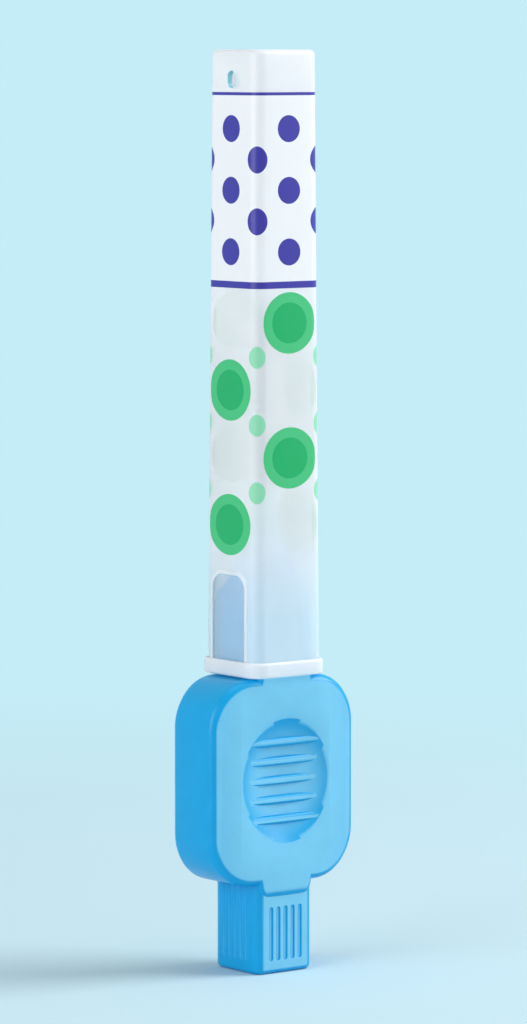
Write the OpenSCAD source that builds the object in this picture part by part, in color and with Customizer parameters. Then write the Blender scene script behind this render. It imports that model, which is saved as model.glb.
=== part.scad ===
// Interdental brush in its travel cap. A finger handle is moulded round the end
// of a twisted-wire brush, and a clear cap slips down over the head and stem.
// Millimetres. +Z runs up the wire, the dished faces look along -Y and +Y, and
// the origin is the middle of the foot's end face.

/* [Stem and foot] */
// Width of the square stem and of the foot
stem_w = 4.6; // [4.5:0.1:5.4]
// Radius of the upright corners of the stem
stem_corner_r = 0.65; // [0.5:0.05:1]
// Length of the foot below the finger plate
foot_h = 5.8; // [4.5:0.1:12]
// Length of the stem from the finger plate to its shoulder
stem_h = 5.5; // [4.5:0.1:8]
// Rounding where the foot and the shoulder end
end_round = 0.35; // [0.2:0.05:0.5]
// Smooth band between the grooves and each end of the stem
band_h = 0.8; // [0.6:0.05:1.2]
// Number of fine grip grooves down each side
grooves = 5; // [3:2:5]
// Distance between neighbouring grooves
groove_pitch = 0.58; // [0.45:0.01:0.62]
// Radius of one groove
groove_r = 0.22; // [0.12:0.01:0.24]
// Depth of one groove
groove_depth = 0.08; // [0.05:0.01:0.12]

/* [Finger plate] */
// Width of the finger plate
plate_w = 11.6; // [10.5:0.1:14]
// Height of the finger plate
plate_h = 13.3; // [12:0.1:18]
// Radius of the plate's corners
plate_corner_r = 3.2; // [2.8:0.1:4.2]
// Rounding of the plate's edges
plate_edge_r = 0.5; // [0.4:0.05:1.1]
// Fall of each face from the middle of the plate to its edges
plate_crown = 0.36; // [0.2:0.02:0.6]
// Width of the raised pad that runs up each face
pad_w = 4.3; // [4:0.1:4.4]
// Length of the pad past the plate, above and below
pad_over = 1.3; // [1:0.1:1.8]
// Height of the pad over the face of the stem
pad_proud = 0.2; // [0.1:0.05:0.25]
// Radius of the round finger dish
dish_r = 4.1; // [3.4:0.05:4.3]
// Depth of the finger dish
dish_depth = 0.75; // [0.5:0.05:0.9]
// Number of grip bars across the dish
bars = 5; // [3:2:5]
// Distance between neighbouring grip bars
bar_pitch = 1.25; // [1:0.05:1.3]
// Radius of one grip bar
bar_r = 0.3; // [0.2:0.02:0.36]

/* [Neck] */
// Length of the neck from the shoulder to its tip
neck_h = 6.5; // [5.5:0.1:9]
// Radius of the neck at its tip
neck_tip_r = 0.75; // [0.6:0.05:1]
// Radius of the neck where it meets the shoulder
neck_base_r = 2.7; // [2.3:0.05:2.9]
// Power of the neck's flare, where 1 is a plain cone
neck_flare = 2.05; // [1.6:0.05:2.6]
// Width of the ledge round the foot of the neck
neck_ledge = 0.2; // [0.12:0.02:0.3]
// Rounding of the lip round the wire
lip_r = 0.18; // [0.1:0.02:0.3]

/* [Brush head] */
// Length of the head from its first filaments to its last
head_l = 10.8; // [9:0.1:13]
// Diameter of the head across the filament tips
head_d = 3; // [2.4:0.1:3.6]
// Diameter of the wire before it is folded
wire_d = 0.28; // [0.22:0.01:0.34]
// Height of one full turn of the twist
twist_pitch = 1.17; // [1:0.01:1.6]
// Length of the twisted wire inside the neck and stem
wire_embed = 8; // [6:0.5:10]
// Height of wire left bare above the last filaments
wire_bare = 0.2; // [0.1:0.05:0.6]
// Height that one row of filaments takes up along the wire
row_pitch = 0.058; // [0.054:0.001:0.06]
// Thickness of a filament at its tip
filament_d = 0.05; // [0.03:0.005:0.055]
// Rise of each filament from the wire to its tip
filament_rise = 0.12; // [0:0.02:0.2]

/* [Cap] */
// Length of the cap
cap_h = 39.9; // [32:0.1:60]
// Wall of the cap
cap_wall = 0.38; // [0.3:0.02:0.6]
// Clearance between the cap and the stem inside it
cap_clear = 0.1; // [0.06:0.02:0.2]
// Narrowing of the cap from its mouth to its closed end
cap_draw = 0.5; // [0.2:0.02:0.7]
// Radius of the cap's upright corners
cap_corner_r = 0.95; // [0.9:0.05:1.3]
// Thickness of the closed end
cap_end_t = 0.8; // [0.4:0.05:1.2]
// Rounding round the closed end
cap_end_round = 0.35; // [0.2:0.05:0.5]
// Height of the collar round the mouth
collar_h = 1; // [0.8:0.05:1.5]
// Height of the collar over the wall of the cap
collar_out = 0.24; // [0.1:0.02:0.34]
// Rounding of the collar's edges
collar_round = 0.18; // [0.08:0.02:0.25]
// Width of the arched grip panel on each side
arch_w = 3.3; // [2.4:0.1:3.5]
// Height of the arched grip panel above the mouth
arch_h = 6.5; // [4.5:0.1:7]
// Radius of the arch's upper corners
arch_r = 0.95; // [0.8:0.05:1.2]
// Depth of the panel in the wall of the cap
arch_depth = 0.14; // [0.08:0.02:0.18]
// Width of the vent slot near the closed end
vent_w = 0.8; // [0.5:0.05:1]
// Height of the vent slot
vent_h = 1.1; // [1:0.05:2]
// Distance from the closed end to the middle of the vent slot
vent_down = 1.9; // [1.8:0.1:4]

/* [Hidden] */
$fn = 48;

// Every cut runs this far past the face it opens
overrun = 0.4;
// Thickness of the slabs that a drawn tube is stretched between
slab_t = 0.01;
// Steps of a rolled edge, in degrees from the side to the end
round_steps = [0, 30, 60, 90];

// Places up the brush
plate_mid_z = foot_h + plate_h / 2;
plate_top_z = foot_h + plate_h;
shoulder_z = plate_top_z + stem_h;
neck_tip_z = shoulder_z + neck_h;

// The pad's faces are the outermost faces of the handle's middle
pad_d = stem_w + 2 * pad_proud;
pad_corner_r = 1.5;
pad_roll_r = 1.1;
// The plate's faces lie just under the pad's, so that the two blend
pad_step = 0.02;
plate_mid_t = pad_d - 2 * pad_step;
plate_edge_t = plate_mid_t - 2 * plate_crown;
// Plain strip between the ends of the grooves and the pad
groove_stop = 0.12;
// Depth of the stem's two branches inside the plate
branch_root = 1.5;
// Flats from the middle of a crowned face to its edge
crown_steps = 6;

// The ball that sinks the dish
dish_ball_r = (dish_r * dish_r + dish_depth * dish_depth) / (2 * dish_depth);

// The two legs of the folded wire grip one layer of filaments
layer_t = 0.04;
leg_r = (wire_d + layer_t) / 2;
wire_reach = leg_r + wire_d / 2;
wire_fit = 0.02;
wire_foot_z = neck_tip_z - wire_embed;
head_gap = 0.1;
head_z = neck_tip_z + head_gap;
rows = floor(head_l / row_pitch);
// The slice of filaments between the legs
slice_t = 0.03;
slice_reach = 0.13;
wire_bend_z = head_z + head_l + wire_bare - wire_reach;
rings_per_turn = 8;
ring_sides = 6;
bend_steps = 4;

// The cap's mouth stands just clear of the plate
cap_seat = 0.1;
cap_z = plate_top_z + cap_seat;
grip_gap = 0.04;
grip_root = 0.1;
grip_margin = 0.3;
// The grip pads end below the stem's shoulder
grip_h = stem_h - cap_seat - collar_h - grip_margin;

function cap_in_w(h) = stem_w + 2 * cap_clear + cap_draw * (stem_h - h) / cap_h;
function cap_out_w(h) = cap_in_w(h) + 2 * cap_wall;

// Outline with four round corners, centred
module rounded_square(w, d, r) {
    square([w - 2 * r, d], center = true);
    square([w, d - 2 * r], center = true);
    for (x = [-1, 1], y = [-1, 1])
        translate([x * (w / 2 - r), y * (d / 2 - r)])
            circle(r = r);
}

// Thin slab of that outline, with its lower face at z
module slab(z, w, r) {
    translate([0, 0, z])
        linear_extrude(slab_t)
            rounded_square(w, w, r, $fn = 32);
}

// Round post that stands on zero, with its upper rim rolled over. The lower rim
// is rolled the same way if both is true.
module post(r, h, round, both = false) {
    rim = [for (a = round_steps) [r - round * (1 - cos(a)), round * (1 - sin(a))]];
    rotate_extrude($fn = 32)
        polygon(concat(
            [[0, 0]],
            both ? [for (i = [len(rim) - 1 : -1 : 0]) rim[i]] : [[r, 0]],
            [for (p = rim) [p[0], h - p[1]]],
            [[0, h]]));
}

// Four such posts at the corners of a w by d outline
module corner_posts(w, d, r, h, round, both = false) {
    for (x = [-1, 1], y = [-1, 1])
        translate([x * (w / 2 - r), y * (d / 2 - r), 0])
            post(r, h, round, both);
}

module stem_outline(inset = 0) {
    side = stem_w - 2 * inset;
    rounded_square(side, side, stem_corner_r - inset);
}

// Square bar with the grooves down the sides that face each of the angles
module grooved_bar(h, angles) {
    linear_extrude(h)
        difference() {
            stem_outline();
            for (a = angles, i = [0 : grooves - 1])
                rotate(a)
                    translate([(i - (grooves - 1) / 2) * groove_pitch,
                               groove_depth - groove_r - stem_w / 2])
                        circle(r = groove_r, $fn = 24);
        }
}

// Grooved bar that leaves the plate at zero and ends at h with a smooth band
module stem_branch(h) {
    beside_pad = pad_over + groove_stop;
    translate([0, 0, -branch_root])
        grooved_bar(branch_root + beside_pad, [90, 270]);
    translate([0, 0, beside_pad])
        grooved_bar(h - band_h - beside_pad, [0, 90, 180, 270]);
    translate([0, 0, h - band_h])
        linear_extrude(band_h - end_round)
            stem_outline();
    translate([0, 0, h - end_round])
        hull()
            corner_posts(stem_w, stem_w, stem_corner_r, end_round, end_round);
}

// Upright bar as wide as the faces of the plate, crowned from side to side
module crowned_bar(mid_t, h) {
    rim_x = plate_w / 2 - plate_edge_r;
    back = [for (i = [-crown_steps : crown_steps])
        let (share = i / crown_steps)
            [rim_x * share, mid_t / 2 - plate_crown * share * share]];
    linear_extrude(h, center = true)
        polygon(concat(back, [for (p = back) -p]));
}

// Finger plate: crowned faces inside rolled edges
module plate() {
    translate([0, 0, plate_mid_z])
        hull() {
            rotate([90, 0, 0])
                translate([0, 0, -plate_edge_t / 2])
                    corner_posts(plate_w, plate_h, plate_corner_r, plate_edge_t,
                                 plate_edge_r, both = true);
            intersection() {
                crowned_bar(plate_mid_t, plate_h);
                rotate([90, 0, 0])
                    linear_extrude(plate_mid_t, center = true)
                        rounded_square(plate_w - 2 * plate_edge_r, plate_h - 2 * plate_edge_r,
                                       plate_corner_r - plate_edge_r, $fn = 32);
            }
        }
}

// Raised pad through the plate, with the same crown and domed ends on the stem
module pad() {
    h = plate_h + 2 * pad_over;
    translate([0, 0, plate_mid_z])
        intersection() {
            crowned_bar(pad_d, h);
            rotate([90, 0, 0])
                linear_extrude(pad_d, center = true)
                    rounded_square(pad_w, h, pad_corner_r);
            rotate([90, 0, 90])
                linear_extrude(pad_w, center = true)
                    rounded_square(pad_d, h, pad_roll_r);
        }
}

// Depth of the dish's floor at a distance up or down from its middle
function floor_depth(off) =
    dish_depth - dish_ball_r + sqrt(dish_ball_r * dish_ball_r - off * off);

// Hollow for the finger on the front face, less the bars that stand in it. Each
// bar is centred on the floor, and runs out where the floor rises past it.
module dish() {
    translate([0, 0, plate_mid_z])
        difference() {
            translate([0, dish_depth - dish_ball_r - pad_d / 2, 0])
                sphere(r = dish_ball_r, $fn = 96);
            for (i = [0 : bars - 1]) {
                up = (i - (bars - 1) / 2) * bar_pitch;
                translate([0, floor_depth(up) - pad_d / 2, up])
                    rotate([0, 90, 0])
                        cylinder(r = bar_r, h = 2 * dish_r, center = true);
            }
        }
}

function neck_r(up) =
    neck_tip_r + (neck_base_r - neck_tip_r) * pow(1 - up / neck_h, neck_flare);

// Trumpet-shaped neck: round at its tip, squared by the shoulder at its foot
module neck() {
    flare_steps = 18;
    flare_h = neck_h - lip_r;
    translate([0, 0, shoulder_z])
        intersection() {
            rotate_extrude($fn = 96)
                polygon(concat(
                    [[0, -end_round], [neck_base_r, -end_round]],
                    [for (i = [0 : flare_steps])
                        let (up = flare_h * i / flare_steps) [neck_r(up), up]],
                    [for (a = [30 : 30 : 90])
                        [neck_r(flare_h) - lip_r * (1 - cos(a)), flare_h + lip_r * sin(a)]],
                    [[0, neck_h]]));
            translate([0, 0, -end_round])
                linear_extrude(neck_h + end_round + overrun)
                    stem_outline(neck_ledge);
        }
}

// One moulding: foot, finger plate, stem and neck, with the bore for the wire
module handle() {
    color("deepskyblue")
        difference() {
            union() {
                plate();
                pad();
                translate([0, 0, plate_top_z])
                    stem_branch(stem_h);
                translate([0, 0, foot_h])
                    mirror([0, 0, 1])
                        stem_branch(foot_h);
                neck();
            }
            dish();
            mirror([0, 1, 0])
                dish();
            translate([0, 0, wire_foot_z])
                cylinder(r = wire_reach + wire_fit, h = wire_embed + overrun);
        }
}

// Two triangles for the four-sided face a, b, c, d
function quad(a, b, c, d) = [[a, b, c], [a, c, d]];
function unit(v) = v / norm(v);
function ahead(angle) = [cos(angle), sin(angle), 0];

// Angle of the first leg of the wire at a height
function twist(z) = 360 * (z - wire_foot_z) / twist_pitch;

// Places up one leg of the folded wire, and the bend that joins the two
leg_rings = ceil((wire_bend_z - wire_foot_z) / twist_pitch * rings_per_turn);
leg_zs = [for (i = [0 : leg_rings])
    wire_foot_z + (wire_bend_z - wire_foot_z) * i / leg_rings];
bend_angle = twist(wire_bend_z);

// Each point of the folded wire's centre line, with the way outwards there
wire_stations = concat(
    [for (z = leg_zs) [leg_r * ahead(twist(z)) + [0, 0, z], ahead(twist(z))]],
    [for (i = [1 : bend_steps - 1])
        let (a = 180 * i / bend_steps, out = cos(a) * ahead(bend_angle) + [0, 0, sin(a)])
            [leg_r * out + [0, 0, wire_bend_z], out]],
    [for (i = [leg_rings : -1 : 0])
        let (z = leg_zs[i]) [[0, 0, z] - leg_r * ahead(twist(z)), -ahead(twist(z))]]);
wire_count = len(wire_stations);

// Least space between the two legs, measured on the points of the centre line
leg_gap = min([for (i = [0 : leg_rings])
    norm(wire_stations[i][0] - wire_stations[wire_count - 1 - i][0])]) - wire_d;
echo(least_gap_between_wire_legs = leg_gap);

function station_run(i) =
    unit(wire_stations[min(i + 1, wire_count - 1)][0] - wire_stations[max(i - 1, 0)][0]);

function wire_ring(i) =
    let (run = station_run(i),
         out = unit(wire_stations[i][1] - run * (run * wire_stations[i][1])),
         side = cross(run, out))
    [for (k = [0 : ring_sides - 1])
        let (a = 360 * k / ring_sides)
            wire_stations[i][0] + wire_d / 2 * (cos(a) * out + sin(a) * side)];

// One wire folded in two and twisted on itself, with the fold at the top
module twisted_wire() {
    last = (wire_count - 1) * ring_sides;
    color("slategray")
        polyhedron(
            points = [for (i = [0 : wire_count - 1], p = wire_ring(i)) p],
            faces = concat(
                [for (k = [1 : ring_sides - 2]) [0, k, k + 1]],
                [for (i = [0 : wire_count - 2], k = [0 : ring_sides - 1],
                      f = let (a = i * ring_sides, n = (k + 1) % ring_sides)
                          quad(a + k, a + ring_sides + k, a + ring_sides + n, a + n)) f],
                [for (k = [1 : ring_sides - 2]) [last, last + k + 1, last + k]]));
}

// Corner of the slice between the legs at a row's lower edge
function slice_corner(row, side, edge) =
    let (z = head_z + row * row_pitch, a = twist(z) + 90)
        side * slice_reach * ahead(a) + edge * slice_t / 2 * ahead(a + 90) + [0, 0, z];

// Corner of a filament's tip, where up is 1 on its upper edge and -1 on its lower
function tip_corner(row, side, edge, up) =
    let (z = head_z + (row + 0.5) * row_pitch, a = twist(z) + 90)
        side * head_d / 2 * ahead(a) + edge * side * filament_d / 2 * ahead(a + 90)
            + [0, 0, z + filament_rise + up * filament_d / 2];

// Places in the list of points of a slice corner and of a filament's tip
function slice_at(row, side, edge) = 4 * row + (side > 0 ? 0 : 2) + (edge > 0 ? 0 : 1);
function tip_at(row, side) = 4 * (rows + 1) + 8 * row + (side > 0 ? 0 : 4);

// Faces of one filament, from the slice's narrow side out to its tip
function filament_faces(row, side) =
    let (p = [slice_at(row, side, side), slice_at(row, side, -side),
              slice_at(row + 1, side, -side), slice_at(row + 1, side, side)],
         t = tip_at(row, side))
    concat(quad(p[0], t, t + 3, p[3]), quad(t + 1, p[1], p[2], t + 2),
           quad(p[1], t + 1, t, p[0]), quad(p[3], t + 3, t + 2, p[2]),
           quad(t + 1, t + 2, t + 3, t));

// Rows of filaments fused to the slice of them that the twisted wire grips
module bristles() {
    color("white")
        polyhedron(
            points = concat(
                [for (row = [0 : rows], side = [1, -1], edge = [1, -1])
                    slice_corner(row, side, edge)],
                [for (row = [0 : rows - 1], side = [1, -1],
                      c = [[1, -1], [-1, -1], [-1, 1], [1, 1]])
                    tip_corner(row, side, c[0], c[1])]),
            faces = concat(
                quad(slice_at(0, -1, -1), slice_at(0, 1, -1), slice_at(0, 1, 1),
                     slice_at(0, -1, 1)),
                [for (row = [0 : rows - 1], edge = [1, -1],
                      f = quad(slice_at(row, -edge, edge), slice_at(row, edge, edge),
                               slice_at(row + 1, edge, edge), slice_at(row + 1, -edge, edge))) f],
                [for (row = [0 : rows - 1], side = [1, -1], f = filament_faces(row, side)) f],
                quad(slice_at(rows, -1, 1), slice_at(rows, 1, 1), slice_at(rows, 1, -1),
                     slice_at(rows, -1, -1))));
}

// Outline of the arched panel, standing on zero
module arch(w, h) {
    translate([-w / 2, 0])
        square([w, h - arch_r]);
    translate([arch_r - w / 2, 0])
        square([w - 2 * arch_r, h]);
    for (x = [-1, 1])
        translate([x * (w / 2 - arch_r), h - arch_r])
            circle(r = arch_r);
}

// Block of that outline on the side at +X, from one distance out to another
module arch_block(w, h, from, to) {
    translate([from, 0, 0])
        rotate([90, 0, 90])
            linear_extrude(to - from)
                arch(w, h);
}

// Outside of the cap, closed and rounded at its end
module cap_outside() {
    end_w = cap_out_w(cap_h);
    collar_w = cap_out_w(0) + 2 * collar_out;
    hull() {
        slab(0, cap_out_w(0), cap_corner_r);
        translate([0, 0, cap_h - cap_end_round])
            corner_posts(end_w, end_w, cap_corner_r, cap_end_round, cap_end_round);
    }
    hull()
        corner_posts(collar_w, collar_w, cap_corner_r + collar_out, collar_h, collar_round,
                     both = true);
}

// Space inside the cap, open at the mouth, and the pocket for the pad's ends
module cap_inside() {
    hull()
        for (h = [-overrun, cap_h - cap_end_t - slab_t])
            slab(h, cap_in_w(h), cap_corner_r - cap_wall);
    translate([0, 0, -overrun])
        linear_extrude(overrun + pad_over + cap_clear)
            square([pad_w + 2 * cap_clear, pad_d + 2 * cap_clear], center = true);
}

// Slip-on cap: a drawn square tube with a collar, grip panels and a vent
module cap() {
    panel_x = cap_out_w(collar_h) / 2 - arch_depth;
    color([0.93, 0.96, 1, 0.6])
        translate([0, 0, cap_z]) {
            difference() {
                cap_outside();
                cap_inside();
                for (side = [0, 180])
                    rotate(side)
                        difference() {
                            arch_block(arch_w, arch_h, panel_x, panel_x + overrun);
                            translate([0, 0, collar_h / 2])
                                cube([4 * panel_x, 2 * arch_w, collar_h], center = true);
                        }
                translate([-cap_out_w(cap_h) / 2, 0, cap_h - vent_down])
                    rotate([90, 0, 90])
                        linear_extrude(2 * (cap_wall + overrun), center = true)
                            rounded_square(vent_w, vent_h, vent_w / 2 - slab_t);
            }
            for (side = [0, 180])
                rotate(side)
                    translate([0, 0, collar_h])
                        arch_block(arch_w - 2 * grip_margin, grip_h,
                                   stem_w / 2 + grip_gap, cap_in_w(0) / 2 + grip_root);
        }
}

handle();
twisted_wire();
bristles();
cap();
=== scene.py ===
import math
import random

import bmesh
import bpy
from mathutils import Matrix, Vector


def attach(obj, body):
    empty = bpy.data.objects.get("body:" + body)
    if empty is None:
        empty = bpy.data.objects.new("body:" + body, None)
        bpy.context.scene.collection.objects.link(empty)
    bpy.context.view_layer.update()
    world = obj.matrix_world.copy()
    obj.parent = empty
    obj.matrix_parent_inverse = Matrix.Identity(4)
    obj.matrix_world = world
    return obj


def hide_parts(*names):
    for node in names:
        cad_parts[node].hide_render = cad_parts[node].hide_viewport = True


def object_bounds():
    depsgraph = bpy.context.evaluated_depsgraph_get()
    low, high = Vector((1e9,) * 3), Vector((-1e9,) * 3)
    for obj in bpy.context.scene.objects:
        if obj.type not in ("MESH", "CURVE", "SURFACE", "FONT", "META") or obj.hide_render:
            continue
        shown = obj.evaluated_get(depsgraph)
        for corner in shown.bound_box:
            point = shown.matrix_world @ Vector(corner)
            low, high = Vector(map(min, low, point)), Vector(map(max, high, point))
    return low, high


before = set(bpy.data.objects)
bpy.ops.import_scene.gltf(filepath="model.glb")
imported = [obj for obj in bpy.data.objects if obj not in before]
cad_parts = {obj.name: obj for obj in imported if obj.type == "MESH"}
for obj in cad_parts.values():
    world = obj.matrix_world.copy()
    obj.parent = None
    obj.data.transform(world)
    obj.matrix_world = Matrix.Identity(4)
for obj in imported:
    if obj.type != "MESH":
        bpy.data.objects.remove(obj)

cad_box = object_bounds()
scene = bpy.context.scene
scene.view_settings.view_transform = "Standard"

# The view: a long lens a little above the brush, turned to its left front corner, so
# that the broad front of the finger plate is on the right and its edge on the left.
VIEW_TURN = math.radians(-38)
VIEW_RISE = math.radians(5.2)
LENS = 180.0
LONG_SIDE = 36.0
FILL_SHARE = 0.9

low, high = cad_box
middle = (low + high) / 2
to_camera = Vector((math.sin(VIEW_TURN) * math.cos(VIEW_RISE),
                    -math.cos(VIEW_TURN) * math.cos(VIEW_RISE), math.sin(VIEW_RISE)))
distance = (high.z - low.z) / FILL_SHARE * LENS / LONG_SIDE
camera = bpy.data.objects.new("camera", bpy.data.cameras.new("camera"))
camera.data.lens = LENS
camera.data.sensor_width = LONG_SIDE
camera.data.clip_start = 0.01
camera.location = middle + to_camera * distance
camera.rotation_mode = "QUATERNION"
camera.rotation_quaternion = (-to_camera).to_track_quat("-Z", "Y")
scene.collection.objects.link(camera)
scene.camera = camera


def colour(hex_code):
    """Linear RGBA of an sRGB colour such as 1AA7EC."""
    parts = [int(hex_code[i:i + 2], 16) / 255 for i in (0, 2, 4)]
    return (*[p / 12.92 if p <= 0.04045 else ((p + 0.055) / 1.055) ** 2.4 for p in parts], 1.0)


def add(tree, kind, inputs=None, **settings):
    """Adds a node to a tree. An input is a plain value, or the socket that feeds it."""
    node = tree.nodes.new("ShaderNode" + kind)
    for name, value in settings.items():
        setattr(node, name, value)
    for name, value in (inputs or {}).items():
        if isinstance(value, bpy.types.NodeSocket):
            tree.links.new(value, node.inputs[name])
        else:
            node.inputs[name].default_value = value
    return node


def new_material(name):
    """An empty material, as its tree and its output node."""
    material = bpy.data.materials.new(name)
    material.use_nodes = True
    material.node_tree.nodes.clear()
    return material, material.node_tree, add(material.node_tree, "OutputMaterial")


# The light: big softboxes at the right front, at the left and above, and a pale room all
# round, at a level where a colour renders about as it is written.
AMBIENT = colour("FAFAFA")
AMBIENT_LEVEL = 0.43
BACKDROP = colour("C5EDF8")
SOFTBOX_REACH = 0.42
KEY = dict(turn=60, rise=30, size=0.25, power=1.55)
FILL = dict(turn=-84, rise=14, size=0.3, power=0.92)
TOP = dict(turn=20, rise=80, size=0.25, power=0.3)

for name, lamp in (("key_softbox", KEY), ("fill_softbox", FILL), ("top_softbox", TOP)):
    turn, rise = math.radians(lamp["turn"]), math.radians(lamp["rise"])
    aim = Vector((math.sin(turn) * math.cos(rise), -math.cos(turn) * math.cos(rise), math.sin(rise)))
    light = bpy.data.objects.new(name, bpy.data.lights.new(name, "AREA"))
    light.data.shape = "SQUARE"
    light.data.size = lamp["size"]
    light.data.energy = lamp["power"]
    light.visible_camera = False
    light.location = middle + aim * SOFTBOX_REACH
    light.rotation_mode = "QUATERNION"
    light.rotation_quaternion = (-aim).to_track_quat("-Z", "Y")
    scene.collection.objects.link(light)

world = bpy.data.worlds.new("room")
world.use_nodes = True
room = world.node_tree
room.nodes.clear()


def looked_at(tree):
    """1 for a ray that looks at the background, straight or in a mirror or through a clear piece."""
    rays = add(tree, "LightPath")
    seen = rays.outputs["Is Camera Ray"]
    for kind in ("Is Glossy Ray", "Is Transmission Ray"):
        seen = add(tree, "Math", {0: seen, 1: rays.outputs[kind]}, operation="MAXIMUM").outputs[0]
    return seen


ambient = add(room, "Background", {"Color": AMBIENT, "Strength": AMBIENT_LEVEL})
backdrop = add(room, "Background", {"Color": BACKDROP})
either = add(room, "MixShader", {"Fac": looked_at(room), 1: ambient.outputs[0], 2: backdrop.outputs[0]})
add(room, "OutputWorld", {"Surface": either.outputs[0]})
scene.world = world

# The floor: a wide round sheet of pale paper. It keeps the brush's soft shadow, and
# fades into the room before its edge. The size of a pattern is in mm, here and below.
FLOOR_R = 1.2
FADE_FROM = 0.02
FADE_TO = 0.16
PAPER_GRAIN = 1.1

floor_shape = bmesh.new()
bmesh.ops.create_circle(floor_shape, cap_ends=True, segments=64, radius=FLOOR_R)
floor_mesh = bpy.data.meshes.new("floor")
floor_shape.to_mesh(floor_mesh)
floor_shape.free()
floor = bpy.data.objects.new("floor", floor_mesh)
scene.collection.objects.link(floor)

paper, tree, output = new_material("floor_paper")
place = add(tree, "TexCoord")
off = add(tree, "VectorMath", {0: place.outputs["Object"]}, operation="LENGTH")
fade = add(tree, "MapRange", {"Value": off.outputs["Value"], "From Min": FADE_FROM,
                              "From Max": FADE_TO}, interpolation_type="SMOOTHSTEP")
grain = add(tree, "TexNoise", {"Vector": place.outputs["Object"], "Scale": 1000 / PAPER_GRAIN,
                              "Detail": 3.0})
tooth = add(tree, "Bump", {"Height": grain.outputs["Fac"], "Strength": 0.1, "Distance": 0.0001})
sheet = add(tree, "BsdfPrincipled", {"Base Color": colour("C4E0EA"), "Roughness": 0.8,
                                     "Specular IOR Level": 0.2, "Normal": tooth.outputs[0]})
glow = add(tree, "Emission", {"Color": BACKDROP})
faded = add(tree, "Math", {0: looked_at(tree), 1: fade.outputs["Result"]}, operation="MULTIPLY")
blend = add(tree, "MixShader", {"Fac": faded.outputs[0], 1: sheet.outputs[0], 2: glow.outputs[0]})
tree.links.new(blend.outputs[0], output.inputs["Surface"])
floor_mesh.materials.append(paper)

# Handle: one moulding of polypropylene round the end of the wire. A crowned finger
# plate with a dish in each face stands between a square foot and a square stem, both
# grooved for grip, and a neck flares down from the wire to the stem's shoulder.
# Sizes in millimetres, as in the solids; every piece is scaled to metres at its end.
STEM_W = 4.6
STEM_CORNER = 0.65
STEM_ROOT = 1.5
END_ROUND = 0.35
FOOT_TOP = 5.8
PLATE_W = 11.6
PLATE_H = 13.3
PLATE_CORNER = 3.2
PLATE_EDGE = 0.5
PLATE_EDGE_T = 4.24
PLATE_CROWN = 0.36
PLATE_MID = FOOT_TOP + PLATE_H / 2
PLATE_TOP = FOOT_TOP + PLATE_H
SHOULDER = PLATE_TOP + 5.5
NECK_TIP = SHOULDER + 6.5
CROWN_CUT = 0.4
PAD_W = 4.3
PAD_CORNER = 1.4
PAD_EDGE = 0.3
PAD_OVER = 1.3
PAD_ROLL = 1.1
PAD_FACE = 2.5
PAD_SUNK = 0.04
GROOVES = 5
GROOVE_PITCH = 0.58
GROOVE_R = 0.22
GROOVE_DEPTH = 0.08
GROOVE_RIM = 0.8 * GROOVE_R
GROOVE_ROOT = 1.0
GROOVE_OFF_PAD = 0.12
PLAIN = 0.8
DISH_R = 4.1
DISH_DEPTH = 0.75
DISH_STEPS = 14
DISH_LID = 4.0
BARS = 5
BAR_PITCH = 1.25
BAR_R = 0.3
NECK_R = (0.75, 2.7)
NECK_FLARE = 2.05
NECK_STEPS = 24
NECK_ROOT = 0.5
LIP_R = 0.18
LEDGE = 0.2
BORE_R = 0.32
BORE_DEPTH = 8.0
SHARP_ANGLE = math.radians(26)
# How far a tool runs past the piece, and how near two points count as one or as level
OVERRUN = 1.0
MERGE = 1e-4
LEVEL = 1e-5


def rolled_over(bar, z, rim, steps=5):
    """Rounds the edge round the end of a bar that lies at height z."""
    loop = [e for e in bar.edges if all(abs(v.co.z - z) < LEVEL for v in e.verts)]
    bmesh.ops.bevel(bar, geom=loop, offset=rim, offset_type="OFFSET", affect="EDGES",
                    segments=steps, profile=0.5, material=-1)


def rounded_bar(width, depth, bottom, top, corner, rims=(), rim=0.0, corner_steps=8, rim_steps=5):
    """A bar along Z with round upright corners. Rims holds -1 or 1 for each end rolled over."""
    bar = bmesh.new()
    bmesh.ops.create_cube(bar, size=1.0, matrix=Matrix.Translation((0, 0, (bottom + top) / 2))
                          @ Matrix.Diagonal((width, depth, top - bottom, 1)))
    upright = [e for e in bar.edges if abs(e.verts[0].co.z - e.verts[1].co.z) > (top - bottom) / 2]
    bmesh.ops.bevel(bar, geom=upright, offset=corner, offset_type="OFFSET", affect="EDGES",
                    segments=corner_steps, profile=0.5, material=-1)
    for end in rims:
        rolled_over(bar, top if end > 0 else bottom, rim, rim_steps)
    return bar


def turned(profile, axis, centre, steps=64):
    """A closed solid turned about an axis from a line whose two ends lie on it."""
    solid = bmesh.new()
    points = [solid.verts.new(p) for p in profile]
    lines = [solid.edges.new(pair) for pair in zip(points, points[1:])]
    bmesh.ops.spin(solid, geom=points + lines, cent=centre, axis=axis, angle=2 * math.pi,
                   steps=steps, use_merge=True)
    bmesh.ops.remove_doubles(solid, verts=solid.verts, dist=MERGE)
    bmesh.ops.recalc_face_normals(solid, faces=solid.faces)
    return solid


def combined(body, tool, operation):
    """The body joined with the tool, cut by it or kept inside it."""
    objects = []
    for part in (body, tool):
        mesh = bpy.data.meshes.new("blank")
        part.to_mesh(mesh)
        part.free()
        objects.append(bpy.data.objects.new("blank", mesh))
        scene.collection.objects.link(objects[-1])
    cut = objects[0].modifiers.new("cut", "BOOLEAN")
    cut.operation, cut.solver, cut.object = operation, "MANIFOLD", objects[1]
    result = bmesh.new()
    result.from_object(objects[0], bpy.context.evaluated_depsgraph_get())
    for obj in objects:
        bpy.data.meshes.remove(obj.data)
    return result


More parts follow.
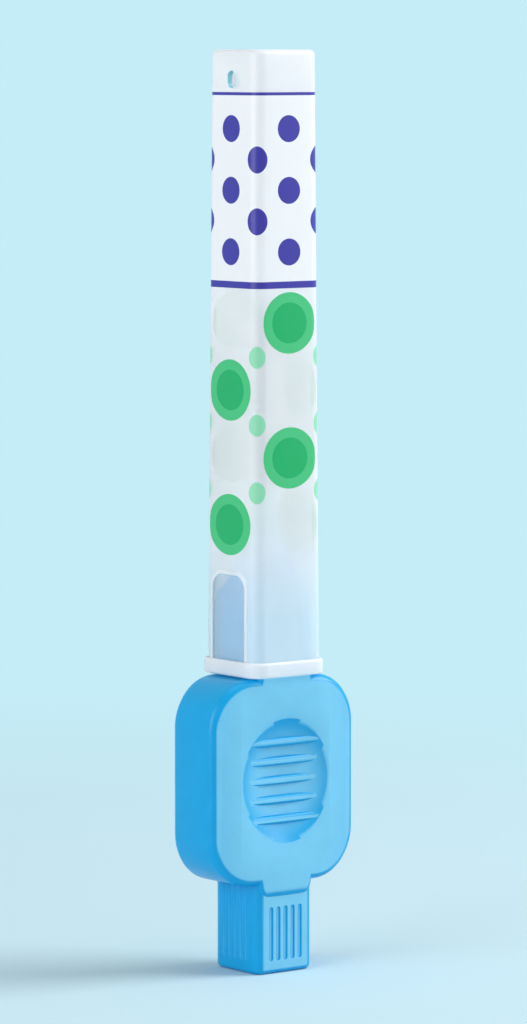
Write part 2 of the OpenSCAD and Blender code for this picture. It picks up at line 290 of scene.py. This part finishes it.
def sliced(shape, axis, places):
    """Cuts new edges across a shape at each place along X, Y or Z."""
    normal = Vector([float("XYZ"[i] == axis) for i in range(3)])
    for at in places:
        bmesh.ops.bisect_plane(shape, geom=shape.verts[:] + shape.edges[:] + shape.faces[:],
                               dist=LEVEL, plane_co=normal * at, plane_no=normal)


def crowned(shape):
    """Swells both faces of a plate by the crown, most at its middle."""
    for vert in shape.verts:
        across = min(abs(vert.co.x) / (PLATE_W / 2 - PLATE_EDGE), 1.0)
        vert.co.y *= 1 + 2 * PLATE_CROWN * (1 - across ** 2) / PLATE_EDGE_T


def finished(shape, name, body, node, material, sharp=SHARP_ANGLE):
    """Makes the piece in metres, smooth but for its sharp edges, in place of its CAD node."""
    bmesh.ops.scale(shape, vec=Vector((0.001, 0.001, 0.001)), verts=shape.verts)
    for face in shape.faces:
        face.smooth = True
    for edge in shape.edges:
        edge.smooth = edge.calc_face_angle(0.0) < sharp
    mesh = bpy.data.meshes.new(name)
    shape.to_mesh(mesh)
    shape.free()
    mesh.materials.append(material)
    piece = bpy.data.objects.new(name, mesh)
    scene.collection.objects.link(piece)
    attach(piece, body)
    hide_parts(node)


# The plate and the pad are bars laid on their backs, crowned across
lay_down = Matrix.Translation((0, 0, PLATE_MID)) @ Matrix.Rotation(math.pi / 2, 4, "X")
plate = rounded_bar(PLATE_W, PLATE_H, -PLATE_EDGE_T / 2, PLATE_EDGE_T / 2, PLATE_CORNER,
                    rims=(-1, 1), rim=PLATE_EDGE, corner_steps=14, rim_steps=7)
bmesh.ops.transform(plate, matrix=lay_down, verts=plate.verts)
sliced(plate, "X", [CROWN_CUT * i for i in range(-12, 13)])
crowned(plate)

pad_t = 2 * PAD_FACE * PLATE_EDGE_T / (PLATE_EDGE_T + 2 * PLATE_CROWN) - PAD_SUNK
pad = rounded_bar(PAD_W, PLATE_H + 2 * PAD_OVER, -pad_t / 2, pad_t / 2, PAD_CORNER,
                  rims=(-1, 1), rim=PAD_EDGE)
bmesh.ops.transform(pad, matrix=lay_down, verts=pad.verts)
sliced(pad, "X", [CROWN_CUT * i for i in range(-5, 6)])
pad_end = PLATE_H / 2 + PAD_OVER
sliced(pad, "Z", [PLATE_MID + side * (pad_end - PAD_ROLL * (1 - math.sin(math.radians(10 * i))))
                  for side in (-1, 1) for i in range(8)])
crowned(pad)
for vert in pad.verts:
    past = max(abs(vert.co.z - PLATE_MID) - pad_end + PAD_ROLL, 0)
    roll = PAD_ROLL - math.sqrt(PAD_ROLL ** 2 - min(past, 0.98 * PAD_ROLL) ** 2)
    vert.co.y *= 1 - roll / PAD_FACE
body = combined(plate, pad, "UNION")


def stem(bottom, top, end, groove_spans):
    """A square bar with one end rolled over, and grooves down its sides over the given spans."""
    bar = rounded_bar(STEM_W, STEM_W, bottom, top, STEM_CORNER, rims=(end,), rim=END_ROUND)
    rods = bmesh.new()
    for quarter in range(4):
        start, stop = groove_spans[quarter % 2]
        for i in range(GROOVES):
            place = Vector(((i - (GROOVES - 1) / 2) * GROOVE_PITCH,
                            GROOVE_DEPTH - GROOVE_R - STEM_W / 2, (start + stop) / 2))
            rod = bmesh.ops.create_cone(
                rods, cap_ends=True, segments=20, radius1=GROOVE_R, radius2=GROOVE_R,
                depth=stop - start,
                matrix=Matrix.Rotation(quarter * math.pi / 2, 4, "Z") @ Matrix.Translation(place))
            rims = {e for v in rod["verts"] for e in v.link_edges
                    if abs(e.verts[0].co.z - e.verts[1].co.z) < LEVEL}
            bmesh.ops.bevel(rods, geom=list(rims), offset=GROOVE_RIM, offset_type="OFFSET",
                            affect="EDGES", segments=3, profile=0.5, material=-1)
    return combined(bar, rods, "DIFFERENCE")


past_pad = PAD_OVER + GROOVE_OFF_PAD
upper = stem(PLATE_TOP - STEM_ROOT, SHOULDER, 1,
             ((PLATE_TOP + past_pad, SHOULDER - PLAIN), (PLATE_TOP - GROOVE_ROOT, SHOULDER - PLAIN)))
lower = stem(0, FOOT_TOP + STEM_ROOT, -1,
             ((PLAIN, FOOT_TOP - past_pad), (PLAIN, FOOT_TOP + GROOVE_ROOT)))
body = combined(body, upper, "UNION")
body = combined(body, lower, "UNION")

flare_h = NECK_TIP - LIP_R - SHOULDER
flare = [(NECK_R[0] + (NECK_R[1] - NECK_R[0]) * (1 - i / NECK_STEPS) ** NECK_FLARE, 0,
          SHOULDER + flare_h * i / NECK_STEPS) for i in range(NECK_STEPS + 1)]
lip = [(NECK_R[0] - LIP_R * (1 - math.cos(a)), 0, NECK_TIP - LIP_R * (1 - math.sin(a)))
       for a in (math.radians(22.5 * k) for k in range(1, 5))]
neck = turned([(0, 0, SHOULDER - NECK_ROOT), (NECK_R[1], 0, SHOULDER - NECK_ROOT)] + flare + lip
              + [(0, 0, NECK_TIP)], (0, 0, 1), (0, 0, 0), steps=72)
ledge = rounded_bar(STEM_W - 2 * LEDGE, STEM_W - 2 * LEDGE, SHOULDER - 2 * LEDGE,
                    NECK_TIP + OVERRUN, STEM_CORNER - LEDGE)
body = combined(body, combined(neck, ledge, "INTERSECT"), "UNION")

ball_r = (DISH_R ** 2 + DISH_DEPTH ** 2) / (2 * DISH_DEPTH)


def floor_depth(out):
    """Depth of the dish's floor at a distance from its middle."""
    return DISH_DEPTH - ball_r + math.sqrt(ball_r ** 2 - out ** 2)


past_rim = 1.05 * DISH_R
outs = [past_rim * i / DISH_STEPS for i in range(DISH_STEPS + 1)]
for side in (-1, 1):
    hollow = [(out, side * (PAD_FACE - floor_depth(out)), PLATE_MID) for out in outs]
    lid = side * DISH_LID
    dish = turned(hollow + [(past_rim, lid, PLATE_MID), (0, lid, PLATE_MID)],
                  (0, 1, 0), (0, 0, PLATE_MID), steps=72)
    bars = bmesh.new()
    for i in range(BARS):
        up = (i - (BARS - 1) / 2) * BAR_PITCH
        bmesh.ops.create_cone(
            bars, cap_ends=True, segments=24, radius1=BAR_R, radius2=BAR_R, depth=2 * DISH_R,
            matrix=Matrix.Translation((0, side * (PAD_FACE - floor_depth(up)), PLATE_MID + up))
            @ Matrix.Rotation(math.pi / 2, 4, "Y"))
    body = combined(body, combined(dish, bars, "DIFFERENCE"), "DIFFERENCE")

bore = bmesh.new()
bmesh.ops.create_cone(bore, cap_ends=True, segments=24, radius1=BORE_R, radius2=BORE_R,
                      depth=BORE_DEPTH + OVERRUN,
                      matrix=Matrix.Translation((0, 0, NECK_TIP - (BORE_DEPTH - OVERRUN) / 2)))
body = combined(body, bore, "DIFFERENCE")
bmesh.ops.remove_doubles(body, verts=body.verts, dist=MERGE)
bmesh.ops.recalc_face_normals(body, faces=body.faces)

# Moulded polypropylene, deep blue. The sides are polished and come out glossy; the broad faces
# and the flats at front and back have a fine erosion, are a little rougher, and carry a painted
# sheen: their colour is lightened towards a pale blue, which fades out where a face turns away,
# so that the dish walls and the rolled ends keep the deeper blue. The thin neck is milky towards its tip.
# The erosion is drawn a few times coarser than a real one, so that it shows.
CLOUDS = 1.4
EROSION = 0.11
SHEEN_AND_ROUGH_FACING = (0.94, 0.998)
SHEEN_AND_ROUGH_TO = (24.5, 26.5)
MILKY_FROM = (26.2, 29.6)
handle_plastic, tree, output = new_material("moulded_polypropylene")
place = add(tree, "TexCoord")
parts = add(tree, "SeparateXYZ", {"Vector": place.outputs["Object"]})
cloud = add(tree, "TexNoise", {"Vector": place.outputs["Object"], "Scale": 1000 / CLOUDS,
                              "Detail": 3.0})
up = add(tree, "MapRange", {"Value": parts.outputs["Z"], "From Min": MILKY_FROM[0] / 1000,
                            "From Max": MILKY_FROM[1] / 1000})
neck_tint = add(tree, "ValToRGB", {"Fac": up.outputs["Result"]})
ramp = neck_tint.color_ramp
ramp.elements[0].color, ramp.elements[1].color = colour("02A1DB"), colour("A6DDEB")
ramp.elements.new(0.35).color = colour("6FC4EE")
# Painted sheen: faces turned to the front or back, below the neck, get a paler colour and a rougher
# finish, fading out as a face turns away
facing = add(tree, "SeparateXYZ", {"Vector": place.outputs["Normal"]}).outputs["Y"]
broad = add(tree, "Math", {0: facing}, operation="ABSOLUTE").outputs[0]
sheen_and_rough_by_facing = add(tree, "MapRange", {"Value": broad, "From Min": SHEEN_AND_ROUGH_FACING[0],
                                "From Max": SHEEN_AND_ROUGH_FACING[1], "To Max": 0.9},
             interpolation_type="SMOOTHSTEP").outputs[0]
below = add(tree, "MapRange", {"Value": parts.outputs["Z"], "From Min": SHEEN_AND_ROUGH_TO[0] / 1000,
                               "From Max": SHEEN_AND_ROUGH_TO[1] / 1000, "To Min": 1.0, "To Max": 0.0}).outputs[0]
sheen_and_rough_share = add(tree, "Math", {0: sheen_and_rough_by_facing, 1: below}, operation="MULTIPLY").outputs[0]
# The painted sheen's pale blue, laid over the base colour
painted_sheen_tint = add(tree, "Mix", {"Factor": sheen_and_rough_share, "A": neck_tint.outputs["Color"],
                              "B": colour("80CBEA")}, data_type="RGBA")
tone = add(tree, "HueSaturation", {"Color": painted_sheen_tint.outputs["Result"], "Value": add(
    tree, "MapRange", {"Value": cloud.outputs["Fac"], "To Min": 0.94, "To Max": 1.06}).outputs[0]})
erosion = add(tree, "TexNoise", {"Vector": place.outputs["Object"], "Scale": 1000 / EROSION,
                                "Detail": 2.0})
satin = add(tree, "Bump", {"Height": erosion.outputs["Fac"], "Strength": 0.25, "Distance": 0.00001})
gloss = add(tree, "MapRange", {"Value": sheen_and_rough_share, "To Min": 0.3, "To Max": 0.42})
skin = add(tree, "BsdfPrincipled", {
    "Base Color": tone.outputs["Color"], "Roughness": gloss.outputs["Result"],
    "Normal": satin.outputs[0], "IOR": 1.49, "Specular IOR Level": 0.32,
    "Subsurface Weight": 0.2, "Subsurface Scale": 0.0006, "Subsurface Radius": (0.4, 0.7, 1.0)})
tree.links.new(skin.outputs[0], output.inputs["Surface"])
finished(body, "handle_moulding", "brush", "handle", handle_plastic)

# Wire: one thin stainless wire, folded in two over the filaments and twisted on itself
# until they are gripped. The handle is moulded round its lower end.
WIRE_D = 0.28
LEG_R = 0.16
TWIST_PITCH = 1.17
WIRE_FOOT = NECK_TIP - BORE_DEPTH
HEAD_GAP = 0.1
HEAD_FOOT = NECK_TIP + HEAD_GAP
HEAD_L = 10.8
HEAD_R = 1.5
BEND_OVER = 0.2
BEND = HEAD_FOOT + HEAD_L + BEND_OVER - LEG_R - WIRE_D / 2
WIRE_STEPS = 18

turns = (BEND - WIRE_FOOT) / TWIST_PITCH
steps = round(turns * WIRE_STEPS)
lean = math.atan2(2 * math.pi * LEG_R, TWIST_PITCH)
wire = bmesh.new()
for side in (0, math.pi):
    start = (Matrix.Rotation(side, 4, "Z") @ Matrix.Translation((LEG_R, 0, WIRE_FOOT))
             @ Matrix.Rotation(-lean, 4, "X"))
    ring = bmesh.ops.create_circle(wire, segments=10, radius=WIRE_D / 2, matrix=start)["verts"]
    edges = list({e for v in ring for e in v.link_edges})
    wire.faces.new(ring)
    last = bmesh.ops.spin(wire, geom=ring + edges, cent=(0, 0, 0), axis=(0, 0, 1),
                          dvec=(0, 0, (BEND - WIRE_FOOT) / steps), angle=turns * 2 * math.pi,
                          steps=steps)["geom_last"]
    if side == 0:
        across = Matrix.Rotation(turns * 2 * math.pi, 4, "Z") @ Vector((0, -1, 0))
        bmesh.ops.spin(wire, geom=last, cent=(0, 0, BEND), axis=across, angle=math.pi, steps=10)
bmesh.ops.remove_doubles(wire, verts=wire.verts, dist=10 * MERGE)
bmesh.ops.recalc_face_normals(wire, faces=wire.faces)

# Drawn stainless steel under a thin clear nylon coat: grey, a little uneven from drawing.
DRAW_MARKS = 0.25
wire_steel, tree, output = new_material("coated_stainless_wire")
place = add(tree, "TexCoord")
cloud = add(tree, "TexNoise", {"Vector": place.outputs["Object"], "Scale": 1000 / DRAW_MARKS,
                              "Detail": 2.0})
steel_tone = add(tree, "Mix", {"Factor": cloud.outputs["Fac"], "A": colour("626C80"),
                               "B": colour("8B94A6")}, data_type="RGBA")
drawn = add(tree, "MapRange", {"Value": cloud.outputs["Fac"], "To Min": 0.25, "To Max": 0.45})
metal = add(tree, "BsdfPrincipled", {"Base Color": steel_tone.outputs["Result"], "Metallic": 0.9,
                                     "Roughness": drawn.outputs["Result"], "Coat Weight": 0.3})
tree.links.new(metal.outputs[0], output.inputs["Surface"])
finished(wire, "twisted_wire_core", "brush", "twisted_wire", wire_steel)

# Bristles: nylon filaments laid across the wire before it was twisted, so that they
# fan round it in a screw. They are cut to one length, and splay a little.
FILAMENTS = 1300
FILAMENT_D = 0.06
END_MARGIN = 0.1
SPLAY = 12.0
DROOP = 2.0
SHORTEST = 0.965

random.seed(7)
head = bmesh.new()
strand = bmesh.ops.create_cone(
    head, cap_ends=True, segments=6, radius1=FILAMENT_D / 2, radius2=FILAMENT_D / 2,
    depth=2 * HEAD_R - END_MARGIN,
    matrix=Matrix.Translation((0, 0, HEAD_FOOT + END_MARGIN)) @ Matrix.Rotation(math.pi / 2, 4, "Y"))
per_strand = len(strand["verts"])
rise = (HEAD_L - 3 * END_MARGIN) / (FILAMENTS - 1)
first_turn = (HEAD_FOOT + END_MARGIN - WIRE_FOOT) / TWIST_PITCH * 2 * math.pi + math.pi / 2
bmesh.ops.rotate(head, verts=head.verts, cent=(0, 0, 0), matrix=Matrix.Rotation(first_turn, 3, "Z"))
bmesh.ops.spin(head, geom=head.verts[:] + head.edges[:] + head.faces[:], cent=(0, 0, 0),
               axis=(0, 0, 1), dvec=(0, 0, rise), steps=FILAMENTS - 1,
               angle=rise * (FILAMENTS - 1) / TWIST_PITCH * 2 * math.pi, use_duplicate=True)
head.verts.ensure_lookup_table()
for i in range(0, len(head.verts), per_strand):
    verts = head.verts[i:i + per_strand]
    middle_z = sum(v.co.z for v in verts) / per_strand
    loose = (Matrix.Rotation(math.radians(random.gauss(0, SPLAY)), 4, "Z")
             @ Matrix.Rotation(math.radians(random.gauss(0, DROOP)), 4, "X"))
    reach = random.uniform(SHORTEST, 1.0)
    for vert in verts:
        at = loose @ (vert.co - Vector((0, 0, middle_z)))
        vert.co = Vector((at.x * reach, at.y * reach, at.z + middle_z))

# Nylon filament, extruded and crimp free: white and softly glossy. Each one lets light
# through, so it casts only a thin shadow on the next.
NYLON_CLOUDS = 0.4
nylon, tree, output = new_material("nylon_filament")
place = add(tree, "TexCoord")
cloud = add(tree, "TexNoise", {"Vector": place.outputs["Object"], "Scale": 1000 / NYLON_CLOUDS})
white = add(tree, "Mix", {"Factor": cloud.outputs["Fac"], "A": colour("E9EAF3"),
                          "B": colour("F8F8FB")}, data_type="RGBA")
shade = add(tree, "LightPath").outputs["Is Shadow Ray"]
veil = add(tree, "MapRange", {"Value": shade, "To Min": 1.0, "To Max": 0.25}).outputs[0]
thread = add(tree, "BsdfPrincipled", {"Base Color": white.outputs["Result"], "Roughness": 0.4,
                                      "IOR": 1.53, "Alpha": veil})
tree.links.new(thread.outputs[0], output.inputs["Surface"])
finished(head, "filament_head", "brush", "bristles", nylon,
         sharp=math.radians(70))

# Cap: a thin clear tube of moulded polypropylene, closed and rounded at its end, that
# slips down over the head and grips the stem. It has a collar round its mouth, an
# arched grip panel on two sides and a vent slot, and a print wrapped round it.
CAP_CLEAR = 0.1
CAP_FOOT = PLATE_TOP + CAP_CLEAR
CAP_H = 39.9
CAP_TOP = CAP_FOOT + CAP_H
CAP_WALL = 0.38
CAP_DRAW = 0.5
CAP_CORNER = 0.95
CAP_END_T = 0.8
COLLAR_H = 1.0
COLLAR_OUT = 0.24
COLLAR_RIM = 0.18
ARCH_W = 3.3
ARCH_H = 6.5
ARCH_R = 0.95
ARCH_DEPTH = 0.14
BEAD_W = 0.24
BEAD_OUT = 0.05
BEAD_RIM = 0.04
BEAD_ROOT = 0.3
GRIP_MARGIN = 0.3
GRIP_GAP = 0.04
GRIP_ROOT = 0.1
POCKET_CORNER = 0.1
CUT_BELOW = 0.4
VENT_W = 0.8
VENT_H = 1.1
VENT_DOWN = 1.9
VENT_CUT = 0.8
HAIR = 0.01


def cap_width(z, wall):
    """Width of the cap's tube at a height, inside it or with its wall on both sides."""
    return STEM_W + 2 * CAP_CLEAR + CAP_DRAW * (SHOULDER - PLATE_TOP - (z - CAP_FOOT)) / CAP_H + 2 * wall


def tube(bottom, top, wall, corner):
    """A bar that narrows upwards as the cap's tube does."""
    bar = rounded_bar(1, 1, bottom, top, corner / cap_width(bottom, wall))
    sliced(bar, "Z", [bottom + (top - bottom) * i / 12 for i in range(1, 12)])
    for vert in bar.verts:
        width = cap_width(vert.co.z, wall)
        vert.co.x *= width
        vert.co.y *= width
    return bar


# Turns a block that is made along Z so that its outline faces out along X
facing_out = Matrix.Rotation(math.pi / 2, 4, "Z") @ Matrix.Rotation(math.pi / 2, 4, "X")


def arch(side, grow, foot, top, inner, outer, rims=()):
    """A block with an arched outline on one side of the cap, between two distances out."""
    block = rounded_bar(ARCH_W + 2 * grow, 2 * (top - foot), (inner - outer) / 2, (outer - inner) / 2,
                        ARCH_R + grow, rims=rims, rim=BEAD_RIM, rim_steps=3)
    place = Matrix.Rotation(side, 4, "Z") @ Matrix.Translation(((inner + outer) / 2, 0, foot))
    bmesh.ops.transform(block, verts=block.verts, matrix=place @ facing_out)
    bmesh.ops.bisect_plane(block, geom=block.verts[:] + block.edges[:] + block.faces[:], dist=LEVEL,
                           plane_co=(0, 0, foot), plane_no=(0, 0, -1), clear_outer=True)
    bmesh.ops.holes_fill(block, edges=block.edges)
    bmesh.ops.recalc_face_normals(block, faces=block.faces)
    return block


collar_w = cap_width(CAP_FOOT, CAP_WALL) + 2 * COLLAR_OUT
collar_top = CAP_FOOT + COLLAR_H
arch_top = CAP_FOOT + ARCH_H
wall_x = cap_width(collar_top, CAP_WALL) / 2
panel_x = wall_x - ARCH_DEPTH
shell = tube(CAP_FOOT, CAP_TOP, CAP_WALL, CAP_CORNER)
rolled_over(shell, CAP_TOP, END_ROUND)
collar = rounded_bar(collar_w, collar_w, CAP_FOOT, collar_top, CAP_CORNER + COLLAR_OUT,
                     rims=(-1, 1), rim=COLLAR_RIM, corner_steps=10)
shell = combined(shell, collar, "UNION")
for side in (0, math.pi):
    bead = arch(side, BEAD_W, collar_top - BEAD_ROOT, arch_top + BEAD_W, panel_x, wall_x + BEAD_OUT,
                rims=(1,))
    shell = combined(shell, bead, "UNION")
inside = tube(CAP_FOOT - CUT_BELOW, CAP_TOP - CAP_END_T, 0, CAP_CORNER - CAP_WALL)
shell = combined(shell, inside, "DIFFERENCE")
for side in (0, math.pi):
    panel = arch(side, 0, collar_top, arch_top, panel_x, wall_x + OVERRUN)
    shell = combined(shell, panel, "DIFFERENCE")
    grip = arch(side, -GRIP_MARGIN, collar_top, SHOULDER - GRIP_MARGIN, STEM_W / 2 + GRIP_GAP,
                panel_x - GRIP_ROOT)
    shell = combined(shell, grip, "UNION")
pocket = rounded_bar(PAD_W + 2 * CAP_CLEAR, 2 * (PAD_FACE + CAP_CLEAR), CAP_FOOT - CUT_BELOW,
                     CAP_FOOT + PAD_OVER + CAP_CLEAR, POCKET_CORNER, corner_steps=1)
shell = combined(shell, pocket, "DIFFERENCE")
slot = rounded_bar(VENT_W, VENT_H, -VENT_CUT, VENT_CUT, VENT_W / 2 - HAIR)
at_vent = Matrix.Translation((-cap_width(CAP_TOP, CAP_WALL) / 2, 0, CAP_TOP - VENT_DOWN))
bmesh.ops.transform(slot, verts=slot.verts, matrix=at_vent @ facing_out)
shell = combined(shell, slot, "DIFFERENCE")
bmesh.ops.remove_doubles(shell, verts=shell.verts, dist=MERGE)
bmesh.ops.recalc_face_normals(shell, faces=shell.faces)

# Each face keeps how much it hides of what is behind it. The moulding is milky where it
# is thick, in the wall, the beads and the collar, and clearer in the thin arched panels.
INNER_HIDES = 0.36
WALL_HIDES = 0.74
PANEL_HIDES = 0.3
BEAD_HIDES = 0.85
PRINT_ROUND = 5.0
NEAR_AXIS = 0.1
VENT_PLACE = -5.0

hides = shell.faces.layers.float.new("hides")
wrap = shell.loops.layers.uv.new("wrap")
for face in shell.faces:
    at = face.calc_center_median()
    out = max(abs(at.x), abs(at.y))
    facing_x = abs(face.normal.x)
    in_panel = abs(out - panel_x) < HAIR and facing_x > 0.99 and at.z < arch_top
    outside = (face.normal.xy.dot(at.xy) > MERGE or at.z < CAP_FOOT + HAIR
               or at.z > CAP_TOP - CAP_END_T + HAIR)
    on_bead = at.z < arch_top + 2 * BEAD_W and (
        out > wall_x + HAIR / 2 or facing_x < 0.2 and abs(at.y) < ARCH_W / 2 + HAIR)
    thick = on_bead or at.z < collar_top + HAIR
    by_vent = at.x < 0 and abs(at.y) < VENT_W and abs(at.z - CAP_TOP + VENT_DOWN) < VENT_H
    face[hides] = (PANEL_HIDES if in_panel else INNER_HIDES if not outside
                   else BEAD_HIDES if thick else WALL_HIDES)
    quarter = round(math.atan2(at.y, at.x) / (math.pi / 2))
    back = Matrix.Rotation(-quarter * math.pi / 2, 3, "Z")
    for loop in face.loops:
        spot = back @ loop.vert.co
        along = quarter + 0.5 * spot.y / max(spot.x, NEAR_AXIS)
        loop[wrap].uv = (along * PRINT_ROUND, loop.vert.co.z) if outside else (0, 0)
        # The vent's rim goes to a place of its own, where it is painted a pale teal that stands in for
        # the light seen through the slot
        if by_vent and facing_x < 0.5:
            loop[wrap].uv = (0, VENT_PLACE)

# Clear polypropylene, gone milky in its wall, so that the stem shows through it as a pale
# blue, which a painted pale blue glow low on the thin wall and panels makes stronger. It is
# printed on the outside with opaque inks: green pebbles in staggered rows, and a white band
# with indigo borders and dots. Print places are in mm round and up. The vent's rim, which is
# seen through the length of the wall, has a place of its own, painted a pale teal that stands
# in for the light seen through the slot.
INDIGO = "3C2F9E"
PEBBLE_ROW = 28.9
PEBBLE_PITCH = Vector((10, 8.6, 1))
DOT_ROW = 50.2
DOT_PITCH = Vector((5, 3.9, 1))
BAND = (44.0, 56.4)
RAMP_SPAN = 3.0
PAINTED_STEM_GLOW = 0.45
PAINTED_GLOW_FADES = (22.5, 27.5)
MILK_CLOUDS = 2.0

cap_plastic, tree, output = new_material("milky_polypropylene")
place = add(tree, "TexCoord")
cloud = add(tree, "TexNoise", {"Vector": place.outputs["Object"], "Scale": 1000 / MILK_CLOUDS,
                              "Detail": 3.0})
milk = add(tree, "Mix", {"Factor": cloud.outputs["Fac"], "A": colour("ECEBEE"),
                         "B": colour("F4F2F4")}, data_type="RGBA")
cover = add(tree, "Attribute", attribute_name="hides").outputs["Fac"]
# Round the stem the thin wall and the panels get a painted pale blue glow, standing in for the blue light
# that the stem throws back
up = add(tree, "SeparateXYZ", {"Vector": place.outputs["Object"]}).outputs["Z"]
near = add(tree, "MapRange", {"Value": up, "From Min": PAINTED_GLOW_FADES[0] / 1000,
                              "From Max": PAINTED_GLOW_FADES[1] / 1000, "To Min": PAINTED_STEM_GLOW,
                              "To Max": 0.0}).outputs[0]
thin = add(tree, "Math", {0: cover, 1: (WALL_HIDES + BEAD_HIDES) / 2},
           operation="LESS_THAN").outputs[0]
lit = add(tree, "Math", {0: near, 1: thin}, operation="MULTIPLY").outputs[0]
milk_with_painted_glow = add(tree, "Mix", {"Factor": lit, "A": milk.outputs["Result"], "B": colour("C4EEFC")},
               data_type="RGBA")
spread = add(tree, "UVMap", uv_map="wrap")
height = add(tree, "SeparateXYZ", {"Vector": spread.outputs["UV"]}).outputs["Y"]


def nearest(first, pitch):
    """Distance in mm from the nearest place of a grid round the cap."""
    moved = add(tree, "VectorMath", {0: spread.outputs["UV"], 1: first}, operation="SUBTRACT")
    cell = add(tree, "VectorMath", {0: moved.outputs[0], 1: pitch / 2, 2: -pitch / 2}, operation="WRAP")
    return add(tree, "VectorMath", {0: cell.outputs[0]}, operation="LENGTH").outputs["Value"]


def staggered(row, pitch):
    """Distance in mm from the nearest place of rows that are each half a pitch on from the last."""
    between = nearest((pitch.x / 2, row + pitch.y / 2, 0), pitch)
    return add(tree, "Math", {0: nearest((0, row, 0), pitch), 1: between},
               operation="MINIMUM").outputs[0]


# Each ink, and the painted teal at the vent: what it is drawn by, the heights it keeps to, and its steps
# of colour
pebbles = staggered(PEBBLE_ROW, PEBBLE_PITCH)
crumbs = nearest((PEBBLE_PITCH.x / 4, PEBBLE_ROW + PEBBLE_PITCH.y / 4, 0), PEBBLE_PITCH / 2)
dots = staggered(DOT_ROW, DOT_PITCH)
band = add(tree, "MapRange", {"Value": height, "From Min": BAND[0], "From Max": BAND[1]}).outputs[0]
inks_and_painted_vent = ((pebbles, (26.7, BAND[0]), ((0, "08AD62"), (1.3, "46C07C"), (1.95, None))),
        (crumbs, (30.0, 40.8), ((0, "94D8B2"), (0.7, None))),
        # Not an ink: a painted pale teal on the vent's rim, standing in for the light seen through the
        # slot
        (band, (VENT_PLACE - 1, VENT_PLACE + 1), ((0, "86C9D6"), (1.0, None))),
        (band, BAND, ((0, INDIGO), (0.025, "F2EEF0"), (0.975, INDIGO))),
        (dots, (45.3, 55.1), ((0, INDIGO), (0.85, None))))
tint = milk_with_painted_glow.outputs["Result"]
for value, (bottom, top), stops in inks_and_painted_vent:
    within = add(tree, "Math", {0: height, 1: (bottom + top) / 2, 2: (top - bottom) / 2},
                 operation="COMPARE").outputs[0]
    share = add(tree, "Math", {0: value, 1: 1 / RAMP_SPAN}, operation="MULTIPLY").outputs[0]
    steps = add(tree, "ValToRGB", {"Fac": share})
    steps.color_ramp.interpolation = "CONSTANT"
    while len(steps.color_ramp.elements) < len(stops):
        steps.color_ramp.elements.new(1.0)
    for element, (far, ink) in zip(steps.color_ramp.elements, stops):
        element.position = far / RAMP_SPAN
        element.color = colour(ink) if ink else (1, 1, 1, 0)
    amount = add(tree, "Math", {0: within, 1: steps.outputs["Alpha"]}, operation="MULTIPLY").outputs[0]
    tint = add(tree, "Mix", {"Factor": amount, "A": tint, "B": steps.outputs["Color"]},
               data_type="RGBA").outputs["Result"]
    cover = add(tree, "Math", {0: cover, 1: amount}, operation="MAXIMUM").outputs[0]
# A milky wall scatters the light and lets most of it in, so it casts only a thin shadow
shade = add(tree, "LightPath").outputs["Is Shadow Ray"]
shading = add(tree, "MapRange", {"Value": shade, "To Min": 1.0, "To Max": 0.3}).outputs[0]
cover = add(tree, "Math", {0: cover, 1: shading}, operation="MULTIPLY").outputs[0]
gloss = add(tree, "MapRange", {"Value": cloud.outputs["Fac"], "To Min": 0.3, "To Max": 0.4})
clear = add(tree, "BsdfPrincipled", {
    "Base Color": tint, "Roughness": gloss.outputs["Result"], "IOR": 1.49, "Alpha": cover,
    "Subsurface Weight": 0.4, "Subsurface Scale": 0.0008, "Subsurface Radius": (1.0, 1.0, 1.0)})
tree.links.new(clear.outputs[0], output.inputs["Surface"])
finished(shell, "travel_cap", "cap", "cap", cap_plastic)
